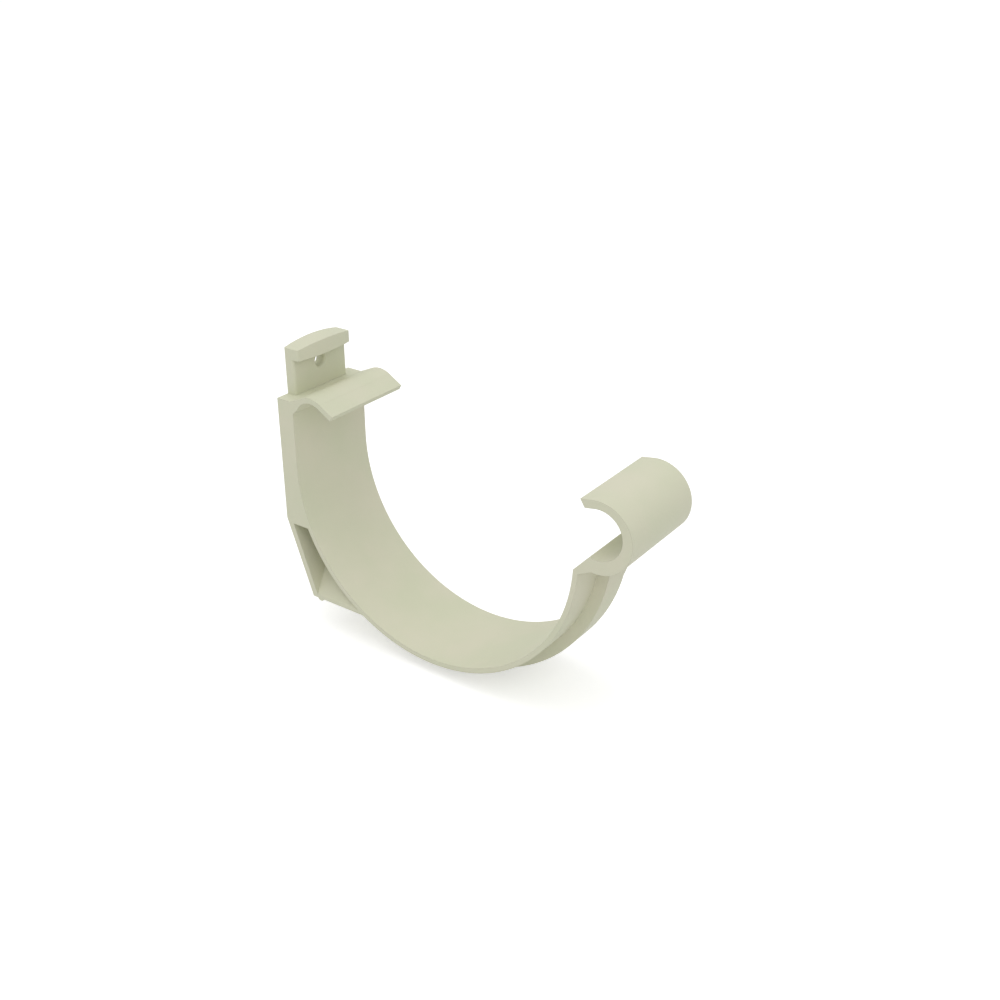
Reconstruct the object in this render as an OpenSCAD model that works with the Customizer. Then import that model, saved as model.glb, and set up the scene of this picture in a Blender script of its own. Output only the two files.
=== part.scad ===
// Gutter bracket for a half-round gutter with a rolled front bead: one plastic moulding.
// Frame: X = 0 is the fascia face and +X points away from the wall, Y runs along the
// gutter with 0 at mid width, Z = 0 is the height of the cradle's centre, +Z is up.
// Sections are drawn in the X-Z plane and stood up along Y.

/* [Cradle] */
// Inner radius of the curved band that carries the gutter
cradle_radius = 63; // [45:0.5:90]
// Thickness of the curved band
band_thickness = 2; // [1.5:0.1:4]
// Width of the bracket along the gutter
bracket_width = 40; // [30:0.2:80]
// Angle below the centre line at which the band's inside stops at the front
band_end_angle = 2.8; // [1:0.1:12]

/* [Back wall] */
// Thickness of the solid wall between the fascia and the gutter
wall_thickness = 7.7; // [5:0.1:15]
// Height of the flat top of the wall above the cradle's centre
wall_top_height = 27.1; // [20:0.1:45]
// Depth below the centre at which the fascia face ends
fascia_face_depth = 23.8; // [10:0.1:35]

/* [Heel] */
// Height of the heel's underside above the lowest point of the band
heel_rise = 9.1; // [5:0.1:20]
// Angle of the heel's sloped wall from the vertical
heel_slope = 19.6; // [5:0.1:25]
// Thickness of the heel's sloped wall
heel_wall = 2.5; // [1.5:0.1:4]
// Thickness of the heel's floor at its outer edges
heel_floor = 1.4; // [0.8:0.1:3]
// Solid depth between the end of the fascia face and the pocket's ceiling
heel_ceiling = 1.8; // [1:0.1:4]
// Radius of the bead along the heel's lower corner
heel_bead_radius = 1.6; // [0.8:0.1:2]
// Distance of the bead's centre from the corner
heel_bead_inset = 3.9; // [3:0.1:5]
// Height of the bead's centre above the heel's underside
heel_bead_lift = 0.6; // [0.2:0.1:0.8]
// Thickness of the web that parts the two side pockets
web_thickness = 2.4; // [1.5:0.1:6]
// Rise of the pocket floor from the side to the web
ramp_rise = 18; // [2:0.5:22]

/* [Under rib] */
// Width of the rib that runs under the band
rib_width = 11.8; // [3:0.1:20]
// Depth of the rib below the band
rib_depth = 4.7; // [1:0.1:7]

/* [Back lip] */
// Distance of the arch's centre from the front of the wall
lip_reach = 9.1; // [8:0.1:16]
// Depth of the arch's centre below the wall's flat top
lip_drop = 6.3; // [4.5:0.1:7.5]
// Inner radius of the arch over the gutter's back edge
lip_inner_radius = 7.7; // [6.4:0.1:9]
// Thickness of the arch
lip_thickness = 2.1; // [1.4:0.1:3]
// Slope of the arch's straight front leg
lip_front_slope = 31; // [20:1:50]
// Length of the arch's straight front leg
lip_front_length = 6.8; // [2:0.1:12]
// Slope of the shoulder between the wall's flat top and the arch
lip_shoulder_slope = 24; // [18:1:32]
// Depth below the wall's flat top at which the arch's underside meets the wall
lip_root_drop = 4.8; // [3:0.1:8]
// Angle behind the top of the arch at which its underside leaves the round
lip_root_angle = 28; // [20:1:40]

/* [Front hook] */
// Distance of the bead hook's bore beyond the inside of the cradle
hook_reach = 9; // [6:0.1:14]
// Height of the bead hook's bore above the cradle's centre
hook_height = 12.6; // [10:0.1:16]
// Radius of the hook's bore, for the gutter's front bead
hook_bore_radius = 9.35; // [8:0.05:11]
// Radius of the hook's outside
hook_outer_radius = 13.5; // [13:0.05:16]
// Shift of the outside's centre toward the wall
hook_shift_in = 0.3; // [0:0.1:0.8]
// Shift of the outside's centre downward
hook_shift_down = 1.1; // [0:0.1:1.6]
// Angle at which the hook's curve ends and its straight tip starts
hook_curve_end = 100; // [90:1:108]
// Angle at which the hook's tip is cut
hook_tip_angle = 122; // [114:1:130]
// Angle at which the hook's bore meets the ledge
hook_floor_angle = 252; // [240:1:260]
// Angle along the band from its inside end to the root of the ledge's underside
ledge_root_angle = 1.6; // [0.8:0.1:4]

/* [Fixing tab] */
// Width of the tab along the gutter
tab_width = 29; // [16:0.2:30]
// Thickness of the tab
tab_thickness = 4.4; // [3:0.1:6]
// Height of the tab above the wall's flat top
tab_height = 20; // [18:0.1:40]
// Height of the thicker head along the tab's top
head_height = 5.8; // [3:0.1:7]
// Depth of the head from the fascia face, at mid width
head_depth = 8.6; // [7.5:0.1:12]
// Radius of the bow of the head's front
head_bow_radius = 65; // [35:1:300]
// Radius of the crown along the head's top
head_crown_radius = 69; // [50:1:300]
// Radius of the tab's front corners
tab_front_radius = 1.2; // [0.6:0.1:1.6]
// Radius of the tab's back corners
tab_back_radius = 0.5; // [0.4:0.1:1.4]

/* [Screw hole] */
// Radius of the screw hole through the tab
screw_hole_radius = 2.5; // [1.5:0.05:2.9]
// Height of the screw hole above the wall's flat top
screw_hole_height = 10.1; // [7:0.1:10.5]
// Radius of the countersink at the tab's front
countersink_radius = 3.1; // [3:0.1:4.2]
// Depth of the countersink
countersink_depth = 0.6; // [0.2:0.1:2]

/* [Hidden] */
$fn = 96;
fine = 180;                 // facets of the large rounds
over = 1;                   // how far a cutting shape runs past the face it cuts
lap = 0.01;                 // overlap between shapes that join
blend = 0.02;               // how far a straight stretch cuts into the round that it leaves
root_cut = 0.1;             // how far the slope under the arch's root runs into the arch's round
bow_lap = 0.2;              // how far the head's bow runs over its round ends
far = 3 * cradle_radius;    // further than the moulding reaches
half_width = bracket_width / 2;
centre_x = wall_thickness + cradle_radius;
band_outer = cradle_radius + band_thickness;
rib_outer = band_outer + rib_depth;
heel_depth = band_outer - heel_rise;
heel_slope_run = tan(heel_slope);
heel_corner_x = (heel_depth - fascia_face_depth) * heel_slope_run;
heel_toe_x = centre_x - sqrt(pow(cradle_radius + band_thickness / 2, 2) - pow(heel_depth, 2));
pocket_top = -fascia_face_depth - heel_ceiling;
pocket_floor = -heel_depth + heel_floor;
lip_x = wall_thickness + lip_reach;
lip_z = wall_top_height - lip_drop;
lip_outer_radius = lip_inner_radius + lip_thickness;
hook_x = centre_x + cradle_radius + hook_reach;
hook_z = hook_height;
hook_out_x = hook_x - hook_shift_in;
hook_out_z = hook_z - hook_shift_down;
tab_top = wall_top_height + tab_height;
band_end = around(centre_x, 0, cradle_radius, -band_end_angle);
hook_floor = around(hook_x, hook_z, hook_bore_radius, hook_floor_angle);
ledge_run = (hook_floor - band_end) / norm(hook_floor - band_end);
ledge_start = band_end - over * ledge_run;
ledge_end = hook_floor + over * ledge_run;

// a point at a distance and an angle from a centre
function around(x, z, r, a) = [x + r * cos(a), z + r * sin(a)];

// distance of the heel wall's inner face from the fascia plane, at a height
function heel_inner_x(z) = (-z - fascia_face_depth) * heel_slope_run + heel_wall / cos(heel_slope);

// stands a drawing of the X-Z plane up along Y, centred on mid width
module stand(width) {
    rotate([90, 0, 0]) translate([0, 0, -width / 2]) linear_extrude(width) children();
}

// a round bar along Y
module bar(x, z, r, width) {
    translate([x, width / 2, z]) rotate([90, 0, 0]) cylinder(r = r, h = width, $fn = fine);
}

// solid block between the fascia face, the heel's slope and the cradle
module back_wall() {
    stand(bracket_width)
        polygon([[0, -fascia_face_depth], [heel_corner_x, -heel_depth], [heel_toe_x, -heel_depth],
                 [heel_toe_x, 0], [wall_thickness, 0],
                 [wall_thickness, wall_top_height], [0, wall_top_height]]);
}

// bead along the heel's underside
module heel_bead() {
    bar(heel_corner_x + heel_bead_inset, -heel_depth + heel_bead_lift, heel_bead_radius, bracket_width);
}

// curved band with its plain rib, up to the height of the cradle's centre
module cradle_band() {
    difference() {
        union() {
            bar(centre_x, 0, band_outer, bracket_width);
            bar(centre_x, 0, rib_outer, rib_width);
        }
        stand(bracket_width + 2 * over) translate([-far, 0]) square([3 * far, far]);
    }
}

// two side pockets in the heel, parted by the web, the rib and the rising floor
module heel_pockets() {
    difference() {
        stand(bracket_width + 2 * over)
            polygon([[heel_inner_x(pocket_top), pocket_top], [heel_toe_x, pocket_top],
                     [heel_toe_x, pocket_floor], [heel_inner_x(pocket_floor), pocket_floor]]);
        bar(centre_x, 0, band_outer, bracket_width + 4 * over);
        bar(centre_x, 0, rib_outer, rib_width);
        stand(web_thickness) translate([0, -heel_depth]) square([centre_x, heel_depth]);
        for (side = [0, 1]) mirror([0, side, 0]) heel_ramp();
    }
}

// floor of one pocket, rising in a straight slope from the side to mid width
module heel_ramp() {
    rise_to = ramp_rise * half_width / (half_width - web_thickness / 2);
    rotate([90, 0, 90]) linear_extrude(centre_x)
        polygon([[0, -heel_depth], [half_width + 2 * over, -heel_depth], [half_width + 2 * over, pocket_floor],
                 [half_width, pocket_floor], [0, pocket_floor + rise_to]]);
}

// arch over the gutter's back edge: shoulder, round crest and straight front leg
module back_lip() {
    crest = around(lip_x, lip_z, lip_outer_radius - blend, 90 + lip_shoulder_slope);
    leg = around(lip_x, lip_z, lip_inner_radius - blend, 90 - lip_front_slope);
    root_z = wall_top_height - lip_root_drop;
    shoulder_x = crest[0] - (crest[1] - wall_top_height) / tan(lip_shoulder_slope);
    stand(bracket_width) {
        difference() {
            union() {
                translate([lip_x, lip_z]) circle(r = lip_outer_radius, $fn = fine);
                polygon([[0, root_z - over], [0, wall_top_height], [shoulder_x, wall_top_height],
                         crest, [lip_x, lip_z], [wall_thickness, root_z - over]]);
            }
            translate([lip_x, lip_z]) circle(r = lip_inner_radius, $fn = fine);
            polygon([[wall_thickness, root_z], around(lip_x, lip_z, lip_inner_radius - root_cut, 90 + lip_root_angle),
                     [lip_x, lip_z], around(lip_x, lip_z, far, 90 - lip_front_slope),
                     [lip_x + far, -far], [wall_thickness, -far]]);
        }
        translate(leg) rotate(-lip_front_slope)
            polygon([[-over, 0], [lip_front_length, 0], [lip_front_length, lip_thickness], [0, lip_thickness]]);
    }
}

// outside of the round hook, with its straight tip and the ledge that joins it to the band
module hook_outside() {
    bar(hook_out_x, hook_out_z, hook_outer_radius, bracket_width);
    stand(bracket_width) {
        tip_slab(hook_out_x, hook_out_z, hook_outer_radius);
        polygon([ledge_start, [hook_x, hook_z],
                 around(hook_out_x, hook_out_z, hook_outer_radius - band_thickness / 2, 270),
                 around(centre_x, 0, cradle_radius + band_thickness / 2, -band_end_angle - ledge_root_angle)]);
    }
}

// room for the gutter's front bead, with its way in from the cradle over the flat ledge
module hook_room() {
    bar(hook_x, hook_z, hook_bore_radius, bracket_width + 2 * over);
    stand(bracket_width + 2 * over) {
        tip_slab(hook_x, hook_z, hook_bore_radius);
        polygon([[centre_x, 0], ledge_start, ledge_end, [hook_x, hook_z],
                 around(hook_x, hook_z, far, hook_tip_angle), [centre_x, far]]);
    }
}

// the side of a circle toward the wall, straight on from where the hook's curve ends
module tip_slab(x, z, r) {
    translate([x, z]) rotate(hook_curve_end) square([r - blend, 2 * hook_outer_radius]);
}

// outline of the tab from above, with its round corners; the front rounds' centres are at front_x
module tab_outline(front_x) {
    half = tab_width / 2;
    b = tab_back_radius;
    f = tab_front_radius;
    translate([b, -half]) square([front_x - b, tab_width]);
    translate([0, b - half]) square([front_x, tab_width - 2 * b]);
    for (side = [-1, 1]) {
        translate([b, side * (half - b)]) circle(r = b);
        translate([front_x, side * (half - f)]) circle(r = f);
    }
}

// plate that carries the screw hole
module tab_plate() {
    inner_half = tab_width / 2 - tab_front_radius;
    translate([0, 0, wall_top_height - over])
        linear_extrude(tab_height + over) {
            tab_outline(tab_thickness - tab_front_radius);
            translate([0, -inner_half]) square([tab_thickness, 2 * inner_half]);
        }
}

// thicker head along the tab's top, with a bowed front
module tab_head() {
    inner_half = tab_width / 2 - tab_front_radius;
    bow_half = inner_half + bow_lap;
    bow_x = head_depth - head_bow_radius;
    translate([0, 0, tab_top - head_height])
        linear_extrude(head_height) {
            tab_outline(bow_x + sqrt(pow(head_bow_radius - tab_front_radius, 2) - pow(inner_half, 2)));
            intersection() {
                translate([bow_x, 0]) circle(r = head_bow_radius, $fn = fine);
                translate([tab_back_radius, -bow_half]) square([head_depth, 2 * bow_half]);
            }
        }
}

module fixing_tab() {
    difference() {
        intersection() {
            union() {
                tab_plate();
                tab_head();
            }
            translate([-over, 0, tab_top - head_crown_radius])
                rotate([0, 90, 0]) cylinder(r = head_crown_radius, h = head_depth + 2 * over, $fn = fine);
        }
        translate([-over, 0, wall_top_height + screw_hole_height]) rotate([0, 90, 0])
            cylinder(r = screw_hole_radius, h = tab_thickness + 2 * over);
        translate([tab_thickness - countersink_depth, 0, wall_top_height + screw_hole_height])
            rotate([0, 90, 0])
            cylinder(r1 = screw_hole_radius, r2 = countersink_radius, h = countersink_depth + lap);
    }
}

module bracket() {
    color("#d2d2b7") {
        difference() {
            union() {
                back_wall();
                heel_bead();
                cradle_band();
                hook_outside();
            }
            bar(centre_x, 0, cradle_radius, bracket_width + 2 * over);
            hook_room();
            heel_pockets();
        }
        back_lip();
        fixing_tab();
    }
}

bracket();
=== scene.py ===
"""A half-round gutter bracket: the finish of its one moulding, a pale studio and a camera."""
import math

import bpy
from bpy.props import FloatProperty, FloatVectorProperty, PointerProperty
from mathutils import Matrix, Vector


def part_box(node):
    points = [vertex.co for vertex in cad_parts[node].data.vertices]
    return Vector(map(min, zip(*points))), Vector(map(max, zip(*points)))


bl_info = {
    "name": "Gutter bracket",
    "version": (1, 0, 0),
    "blender": (4, 5, 0),
    "location": "3D View > Sidebar > Gutter bracket",
    "description": "Finish, studio and camera of a half-round gutter bracket",
    "category": "Object",
}

MOULDING = "bracket"

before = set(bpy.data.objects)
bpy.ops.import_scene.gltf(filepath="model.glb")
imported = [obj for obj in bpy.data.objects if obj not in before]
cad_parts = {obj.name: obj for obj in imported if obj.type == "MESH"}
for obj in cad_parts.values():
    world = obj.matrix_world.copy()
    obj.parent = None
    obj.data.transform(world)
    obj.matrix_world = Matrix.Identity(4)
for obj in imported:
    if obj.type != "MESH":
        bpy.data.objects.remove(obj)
LOWEST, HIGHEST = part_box(MOULDING)

# How the plastic takes light.
PLASTIC_IOR = 1.50
PLASTIC_SPECULAR = 0.42

# Octaves of the noise behind the flow clouds and behind the skin's pits.
CLOUD_DETAIL = 3
PIT_DETAIL = 2

# Cloud noise at which the colour is all cloud and all plastic, and at which the roughness is
# lowest and highest.
COLOUR_CLOUDS = (0.35, 0.65)
ROUGHNESS_CLOUDS = (0.3, 0.7)

# How open a corner is where the painted corner shade is full and where it has ended, and the width in
# metres over which the painted shade ends at its lower and front bounds.
PAINTED_SHADE_OPENNESS = (0.30, 0.45)
PAINTED_SHADE_FADE = 0.001

# Rays that look for an edge and for an inside corner.
EDGE_SAMPLES = 6
CORNER_SAMPLES = 16

# The studio, in metres. The last line is how near and how far the camera sees.
FLOOR_REACH = 8
SOFTBOX_SIDE = 1.3
OVERHEAD_PLACE = (0.0, -0.2, 1.6)
FRONT_PLACE = (1.1, -1.2, 1.3)
CAMERA_RANGE = (0.01, 50)


class MouldingFinish(bpy.types.PropertyGroup):
    """Colour and skin of the moulded plastic."""

    colour: FloatVectorProperty(
        name="Plastic", description="Colour of the plastic, in linear light",
        subtype="COLOR", size=3, min=0, max=1, default=(0.664, 0.652, 0.506),
    )
    cloud_colour: FloatVectorProperty(
        name="Clouds", description="Colour of the faint clouds left by the flow of the melt",
        subtype="COLOR", size=3, min=0, max=1, default=(0.628, 0.640, 0.476),
    )
    cloud_size: FloatProperty(
        name="Cloud size", description="Distance across one cloud",
        subtype="DISTANCE", unit="LENGTH", min=0.001, default=0.022,
    )
    # Painted shade: the darker colour laid where the tab's inside corners and hole lie in shade.
    painted_shade_colour: FloatVectorProperty(
        name="Film", description="Colour of the dull film in the inside corners of the tab",
        subtype="COLOR", size=3, min=0, max=1, default=(0.260, 0.255, 0.195),
    )
    # How far the painted shade spreads from an inside corner.
    painted_shade_reach: FloatProperty(
        name="Film reach", description="How far the film spreads from an inside corner",
        subtype="DISTANCE", unit="LENGTH", min=0.0001, precision=4, default=0.0050,
    )
    # Height above the cradle's centre at which the painted shade begins.
    painted_shade_bottom: FloatProperty(
        name="Film bottom", description="Height above the cradle's centre at which the film begins",
        subtype="DISTANCE", unit="LENGTH", precision=4, default=0.0255,
    )
    # Distance from the fascia at which the painted shade ends.
    painted_shade_front: FloatProperty(
        name="Film front", description="Distance from the fascia at which the film ends",
        subtype="DISTANCE", unit="LENGTH", precision=4, default=0.0085,
    )
    edge_radius: FloatProperty(
        name="Edge radius", description="Radius by which the light sees the moulding's edges rounded",
        subtype="DISTANCE", unit="LENGTH", min=0, precision=5, default=0.0003,
    )
    skin_size: FloatProperty(
        name="Skin size", description="Distance between the pits of the mould's eroded skin",
        subtype="DISTANCE", unit="LENGTH", min=0.0001, precision=5, default=0.0007,
    )
    skin_depth: FloatProperty(
        name="Skin depth", description="Depth of those pits",
        subtype="DISTANCE", unit="LENGTH", min=0, precision=6, default=0.00003,
    )
    roughness: FloatProperty(
        name="Roughness", description="Mean roughness of the satin surface",
        subtype="FACTOR", min=0, max=1, default=0.60,
    )
    roughness_change: FloatProperty(
        name="Roughness change", description="How far the roughness wanders to each side of its mean",
        subtype="FACTOR", min=0, max=0.5, default=0.05,
    )


class StudioSetup(bpy.types.PropertyGroup):
    """Lights, floor and camera."""

    floor_colour: FloatVectorProperty(
        name="Floor", description="Colour of the pale floor, in linear light",
        subtype="COLOR", size=3, min=0, max=1, default=(0.80, 0.80, 0.80),
    )
    floor_lift: FloatProperty(
        name="Floor lift", description="Light in the floor that only the camera sees, to make it white",
        min=0, max=1, default=0.45,
    )
    room_level: FloatProperty(
        name="Room", description="Even light from all around",
        min=0, max=2, default=0.71,
    )
    overhead_power: FloatProperty(
        name="Overhead softbox", description="Power of the softbox over the bracket",
        subtype="POWER", unit="POWER", min=0, default=6.7,
    )
    front_power: FloatProperty(
        name="Front softbox", description="Power of the softbox high behind the camera",
        subtype="POWER", unit="POWER", min=0, default=5.2,
    )
    camera_place: FloatVectorProperty(
        name="Camera place", description="Where the camera stands",
        subtype="TRANSLATION", unit="LENGTH", size=3, default=(0.32755, -0.33259, 0.20707),
    )
    camera_turn: FloatProperty(
        name="Camera turn", description="How far round from square-on to the side the camera has gone",
        subtype="ANGLE", unit="ROTATION", default=math.radians(35.610),
    )
    camera_dip: FloatProperty(
        name="Camera dip", description="How far the camera looks down",
        subtype="ANGLE", unit="ROTATION", default=math.radians(26.647),
    )
    camera_lens: FloatProperty(
        name="Lens", description="Focal length on a 36 mm wide sensor",
        subtype="DISTANCE_CAMERA", min=1, default=45.52,
    )


def new_material(name):
    """A node material with nothing in it but its output."""
    material = bpy.data.materials.new(name)
    material.use_nodes = True
    nodes = material.node_tree.nodes
    nodes.clear()
    return material, nodes, material.node_tree.links, nodes.new("ShaderNodeOutputMaterial")


def noise(nodes, links, place, cell, detail):
    """Noise whose cells are about one cell size across."""
    texture = nodes.new("ShaderNodeTexNoise")
    texture.inputs["Scale"].default_value = 1 / cell
    texture.inputs["Detail"].default_value = detail
    links.new(place, texture.inputs["Vector"])
    return texture.outputs["Fac"]


def spread(nodes, links, value, low, high, to_low, to_high):
    """The value, moved from one range to another and held inside it."""
    node = nodes.new("ShaderNodeMapRange")
    for name, number in (("From Min", low), ("From Max", high), ("To Min", to_low), ("To Max", to_high)):
        node.inputs[name].default_value = number
    links.new(value, node.inputs["Value"])
    return node.outputs["Result"]


def largest(nodes, links, *values):
    """The largest of the values."""
    result = values[0]
    for value in values[1:]:
        node = nodes.new("ShaderNodeMath")
        node.operation = "MAXIMUM"
        links.new(result, node.inputs[0])
        links.new(value, node.inputs[1])
        result = node.outputs["Value"]
    return result


def colour_mix(nodes, links, share):
    """A mixer of two colours that goes from A to B with the share."""
    mixer = nodes.new("ShaderNodeMix")
    mixer.data_type = "RGBA"
    links.new(share, mixer.inputs["Factor"])
    return mixer


def outside_painted_shade(nodes, links, place, finish):
    """0 where shade is painted, in the tab's inside corners and hole, and 1 outside it."""
    # An ambient occlusion node finds the inside corners where the shade is painted.
    corner = nodes.new("ShaderNodeAmbientOcclusion")
    corner.only_local = True
    corner.samples = CORNER_SAMPLES
    corner.inputs["Distance"].default_value = finish.painted_shade_reach
    where = nodes.new("ShaderNodeSeparateXYZ")
    links.new(place, where.inputs["Vector"])
    bottom, front = finish.painted_shade_bottom, finish.painted_shade_front
    return largest(
        nodes, links,
        spread(nodes, links, corner.outputs["AO"], *PAINTED_SHADE_OPENNESS, 0, 1),
        spread(nodes, links, where.outputs["Z"], bottom - PAINTED_SHADE_FADE, bottom, 1, 0),
        spread(nodes, links, where.outputs["X"], front - PAINTED_SHADE_FADE, front, 0, 1),
    )


def plastic_colour(nodes, links, place, clouds, finish):
    """The plastic's clouded colour, darkened by painted shade in the tab's inside corners and hole."""
    clouded = colour_mix(nodes, links, spread(nodes, links, clouds, *COLOUR_CLOUDS, 0, 1))
    clouded.inputs["A"].default_value = (*finish.cloud_colour, 1)
    clouded.inputs["B"].default_value = (*finish.colour, 1)
    # Painted shade: the clouded colour darkened toward the shade colour in the tab's inside corners and
    # hole.
    with_painted_shade = colour_mix(nodes, links, outside_painted_shade(nodes, links, place, finish))
    with_painted_shade.inputs["A"].default_value = (*finish.painted_shade_colour, 1)
    links.new(clouded.outputs["Result"], with_painted_shade.inputs["B"])
    return with_painted_shade.outputs["Result"]


def pitted_skin(nodes, links, place, finish):
    """The normal of the finely pitted skin, with the edges taken as rounded."""
    edges = nodes.new("ShaderNodeBevel")
    edges.samples = EDGE_SAMPLES
    edges.inputs["Radius"].default_value = finish.edge_radius
    skin = nodes.new("ShaderNodeBump")
    skin.inputs["Distance"].default_value = finish.skin_depth
    links.new(noise(nodes, links, place, finish.skin_size, PIT_DETAIL), skin.inputs["Height"])
    links.new(edges.outputs["Normal"], skin.inputs["Normal"])
    return skin.outputs["Normal"]


def plastic(finish):
    """Pale satin plastic with faint flow clouds, the fine pitted skin of an eroded mould and painted
    shade in the tab's inside corners and hole.
    """
    material, nodes, links, output = new_material("moulded_plastic")
    place = nodes.new("ShaderNodeTexCoord").outputs["Object"]
    clouds = noise(nodes, links, place, finish.cloud_size, CLOUD_DETAIL)
    smoothest = finish.roughness - finish.roughness_change
    roughest = finish.roughness + finish.roughness_change
    roughness = spread(nodes, links, clouds, *ROUGHNESS_CLOUDS, smoothest, roughest)

    shader = nodes.new("ShaderNodeBsdfPrincipled")
    shader.inputs["IOR"].default_value = PLASTIC_IOR
    shader.inputs["Specular IOR Level"].default_value = PLASTIC_SPECULAR
    links.new(plastic_colour(nodes, links, place, clouds, finish), shader.inputs["Base Color"])
    links.new(roughness, shader.inputs["Roughness"])
    links.new(pitted_skin(nodes, links, place, finish), shader.inputs["Normal"])
    links.new(shader.outputs["BSDF"], output.inputs["Surface"])
    return material


def camera_mask(nodes, links):
    """1 for what the camera sees, straight or in a gloss or through glass, and 0 for other light."""
    path = nodes.new("ShaderNodeLightPath")
    kinds = ("Is Camera Ray", "Is Glossy Ray", "Is Transmission Ray")
    return largest(nodes, links, *(path.outputs[kind] for kind in kinds))


def floor_paint(studio):
    """Matt white floor that keeps the bracket's shadow."""
    material, nodes, links, output = new_material("studio_floor")
    matt = nodes.new("ShaderNodeBsdfDiffuse")
    matt.inputs["Color"].default_value = (*studio.floor_colour, 1)
    lift = nodes.new("ShaderNodeEmission")
    strength = spread(nodes, links, camera_mask(nodes, links), 0, 1, 0, studio.floor_lift)
    links.new(strength, lift.inputs["Strength"])
    both = nodes.new("ShaderNodeAddShader")
    links.new(matt.outputs["BSDF"], both.inputs[0])
    links.new(lift.outputs["Emission"], both.inputs[1])
    links.new(both.outputs["Shader"], output.inputs["Surface"])
    return material


def add_object(name, data):
    """A new object in the scene."""
    thing = bpy.data.objects.new(name, data)
    bpy.context.scene.collection.objects.link(thing)
    return thing


def floor(studio):
    """A wide flat floor under the bracket's lowest point."""
    reach = FLOOR_REACH
    corners = [(-reach, -reach), (reach, -reach), (reach, reach), (-reach, reach)]
    mesh = bpy.data.meshes.new("studio_floor")
    mesh.from_pydata([(x, y, LOWEST.z) for x, y in corners], [], [(0, 1, 2, 3)])
    mesh.materials.append(floor_paint(studio))
    return add_object("studio_floor", mesh)


def room(studio):
    """Even light all round, which the camera sees as plain white."""
    world = bpy.data.worlds.new("studio_room")
    world.use_nodes = True
    nodes, links = world.node_tree.nodes, world.node_tree.links
    nodes.clear()
    light = nodes.new("ShaderNodeBackground")
    light.inputs["Color"].default_value = (1, 1, 1, 1)
    strength = spread(nodes, links, camera_mask(nodes, links), 0, 1, studio.room_level, 1)
    links.new(strength, light.inputs["Strength"])
    output = nodes.new("ShaderNodeOutputWorld")
    links.new(light.outputs["Background"], output.inputs["Surface"])
    return world


def softbox(name, power, place):
    """A square softbox, turned to the middle of the bracket."""
    lamp = bpy.data.lights.new(name, "AREA")
    lamp.size = SOFTBOX_SIDE
    lamp.energy = power
    thing = add_object(name, lamp)
    thing.location = place
    middle = (LOWEST + HIGHEST) / 2
    thing.rotation_euler = (middle - thing.location).to_track_quat("-Z", "Y").to_euler()


def camera(studio):
    """The camera, level from side to side."""
    lens = bpy.data.cameras.new("camera")
    lens.lens = studio.camera_lens
    lens.clip_start, lens.clip_end = CAMERA_RANGE
    thing = add_object("camera", lens)
    thing.location = studio.camera_place
    thing.rotation_euler = (math.pi / 2 - studio.camera_dip, 0, studio.camera_turn)
    return thing


class GUTTER_OT_moulding(bpy.types.Operator):
    """Gives the moulding its satin plastic"""

    bl_idname = "gutter.moulding"
    bl_label = "Finish the moulding"

    def execute(self, context):
        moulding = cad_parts[MOULDING]
        material = plastic(context.scene.gutter_finish)
        moulding.data.materials.clear()
        moulding.data.materials.append(material)
        return {"FINISHED"}


class GUTTER_OT_studio(bpy.types.Operator):
    """Builds the floor, the softboxes, the room and the camera"""

    bl_idname = "gutter.studio"
    bl_label = "Build the studio"

    def execute(self, context):
        scene, studio = context.scene, context.scene.gutter_studio
        floor(studio)
        softbox("overhead_softbox", studio.overhead_power, OVERHEAD_PLACE)
        softbox("front_softbox", studio.front_power, FRONT_PLACE)
        scene.world = room(studio)
        scene.camera = camera(studio)
        scene.view_settings.view_transform = "Standard"
        return {"FINISHED"}


class GUTTER_PT_bracket(bpy.types.Panel):
    """Pieces and settings of the gutter bracket"""

    bl_idname = "GUTTER_PT_bracket"
    bl_label = "Gutter bracket"
    bl_space_type = "VIEW_3D"
    bl_region_type = "UI"
    bl_category = "Gutter bracket"

    def draw(self, context):
        for operator, settings in (
            (GUTTER_OT_moulding, context.scene.gutter_finish),
            (GUTTER_OT_studio, context.scene.gutter_studio),
        ):
            box = self.layout.box()
            box.operator(operator.bl_idname)
            for name in settings.__annotations__:
                box.prop(settings, name)


CLASSES = (MouldingFinish, StudioSetup, GUTTER_OT_moulding, GUTTER_OT_studio, GUTTER_PT_bracket)


def register():
    """Registers the classes and gives the scene its settings."""
    for each in CLASSES:
        bpy.utils.register_class(each)
    bpy.types.Scene.gutter_finish = PointerProperty(type=MouldingFinish)
    bpy.types.Scene.gutter_studio = PointerProperty(type=StudioSetup)


def unregister():
    """Takes the settings and the classes away again."""
    del bpy.types.Scene.gutter_studio
    del bpy.types.Scene.gutter_finish
    for each in reversed(CLASSES):
        bpy.utils.unregister_class(each)


def main():
    """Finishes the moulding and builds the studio."""
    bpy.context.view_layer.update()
    register()
    bpy.ops.gutter.moulding()
    bpy.ops.gutter.studio()


if __name__ == "__main__":
    main()
